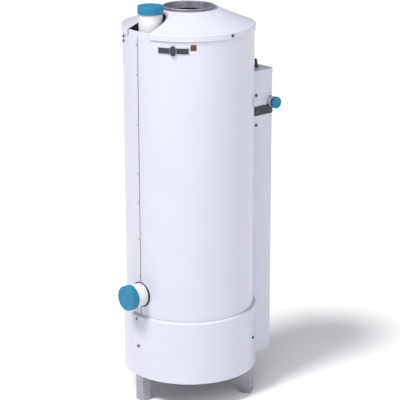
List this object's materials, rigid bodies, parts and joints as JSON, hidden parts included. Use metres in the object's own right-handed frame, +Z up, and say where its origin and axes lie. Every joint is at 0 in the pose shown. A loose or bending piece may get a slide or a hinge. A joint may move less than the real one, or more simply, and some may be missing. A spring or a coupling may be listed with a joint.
{
  "type": "gas storage tank water heater",
  "caption": "Tall round enamelled water heater on folded legs, with capped pipe stubs, a flue collar and a control box down one side.",
  "frame": {"origin": "on the floor, on the tank's vertical axis", "axes": "+Z up, +X out through the control box, -X out through the water inlet"},
  "size_m": [0.5537, 0.5, 1.2692],
  "materials": {
    "white_enamel": "gloss baked enamel",
    "galvanised_steel": "zinc coated sheet, faint spangle",
    "galvanised_pipe": "hot-dip zinc, mottled",
    "plated_screws": "zinc plated, bright",
    "plain_steel": "mill finish",
    "malleable_iron": "as cast",
    "cast_aluminium": "die cast, satin",
    "magnesium_rod": "extruded, dull",
    "brass": "cast and turned",
    "blue_plastic": "moulded, semi-gloss",
    "black_plastic": "moulded, satin",
    "black_paint": "satin black",
    "black_rubber": "matt",
    "red_washer": "smooth",
    "glass_wool": "fibrous",
    "badge_plate": "gloss, light border",
    "badge_metal": "satin plated",
    "rating_foil": "printed foil"
  },
  "bodies": {
    "heater": {"base_skirt": "white_enamel", "skirt_screws": "plated_screws", "base_pan": "galvanised_steel", "leg_inlet_side": "galvanised_steel", "leg_front": "galvanised_steel", "leg_rear": "galvanised_steel", "leg_screws": "plated_screws", "heat_shield": "galvanised_steel", "burner_head": "plain_steel", "burner_mixer_tube": "plain_steel", "burner_bracket": "galvanised_steel", "pilot_burner": "plain_steel", "pilot_tube": "cast_aluminium", "gas_orifice": "brass", "gas_manifold": "galvanised_pipe", "burner_door": "galvanised_steel", "tank_shell": "plain_steel", "tank_heads": "plain_steel", "flue_tube": "plain_steel", "flue_baffle": "plain_steel", "flue_collar": "galvanised_steel", "anode_rod": "magnesium_rod", "outlet_nipple": "galvanised_pipe", "inlet_nipple": "galvanised_pipe", "inlet_grommet": "black_rubber", "insulation_blanket": "glass_wool", "jacket_shell": "white_enamel", "seam_rivets": "galvanised_steel", "jacket_screws": "plated_screws", "top_cover": "white_enamel", "cover_screws": "plated_screws", "nameplate": "badge_plate", "nameplate_boss": "badge_metal", "rating_label": "rating_foil", "box_standoffs": "galvanised_steel", "box_chassis": "galvanised_steel", "box_housing": "white_enamel", "box_screws": "plated_screws", "box_lid": "white_enamel", "gas_bracket": "black_paint", "bracket_screw": "plated_screws", "gas_nipple": "galvanised_pipe", "gas_elbow": "malleable_iron", "gas_valve": "cast_aluminium", "thermostat_body": "cast_aluminium", "thermowell": "brass", "igniter_body": "black_plastic", "igniter_washer": "red_washer", "relief_valve": "brass", "drain_valve": "brass"},
    "outlet_cap": {"outlet_cap": "blue_plastic"},
    "inlet_cap": {"inlet_cap": "blue_plastic"},
    "gas_cap": {"gas_cap": "blue_plastic"},
    "service_panel": {"box_panel": "white_enamel", "panel_screws": "plated_screws"},
    "igniter_button": {"igniter_button": "black_plastic"},
    "gas_knob": {"gas_knob": "black_plastic"},
    "thermostat_dial": {"thermostat_dial": "black_plastic"},
    "relief_lever": {"relief_lever": "galvanised_steel"},
    "drain_handle": {"drain_handle": "black_plastic"}
  },
  "joints": [
    {"name": "outlet_cap_pull", "type": "slide", "parent": "heater", "child": "outlet_cap", "axis": [0, 0, 1], "range_m": [0, 0.06]},
    {"name": "inlet_cap_pull", "type": "slide", "parent": "heater", "child": "inlet_cap", "axis": [-1, 0, 0], "range_m": [0, 0.06]},
    {"name": "gas_cap_pull", "type": "slide", "parent": "heater", "child": "gas_cap", "axis": [0, -1, 0], "range_m": [0, 0.05]},
    {"name": "panel_pull", "type": "slide", "parent": "heater", "child": "service_panel", "axis": [1, 0, 0], "range_m": [0, 0.15]},
    {"name": "igniter_press", "type": "slide", "parent": "heater", "child": "igniter_button", "axis": [0, 0, -1], "range_m": [0, 0.006], "stiffness_N_per_m": 500, "springref_m": -0.002},
    {"name": "gas_knob_turn", "type": "hinge", "parent": "heater", "child": "gas_knob", "pos_m": [0.2497, -0.054, 0.882], "axis": [1, 0, 0], "range_deg": [0, 180]},
    {"name": "thermostat_turn", "type": "hinge", "parent": "heater", "child": "thermostat_dial", "pos_m": [0.2448, 0, 0.7], "axis": [1, 0, 0], "range_deg": [-135, 135]},
    {"name": "relief_lift", "type": "hinge", "parent": "heater", "child": "relief_lever", "pos_m": [0, 0.24, 1.1185], "axis": [1, 0, 0], "range_deg": [0, 80], "stiffness_Nm_per_rad": 0.3, "springref_deg": -17.19},
    {"name": "drain_turn", "type": "hinge", "parent": "heater", "child": "drain_handle", "pos_m": [0.06367, 0.23762, 0.349], "axis": [0, 0, 1], "range_deg": [0, 540]}
  ]
}
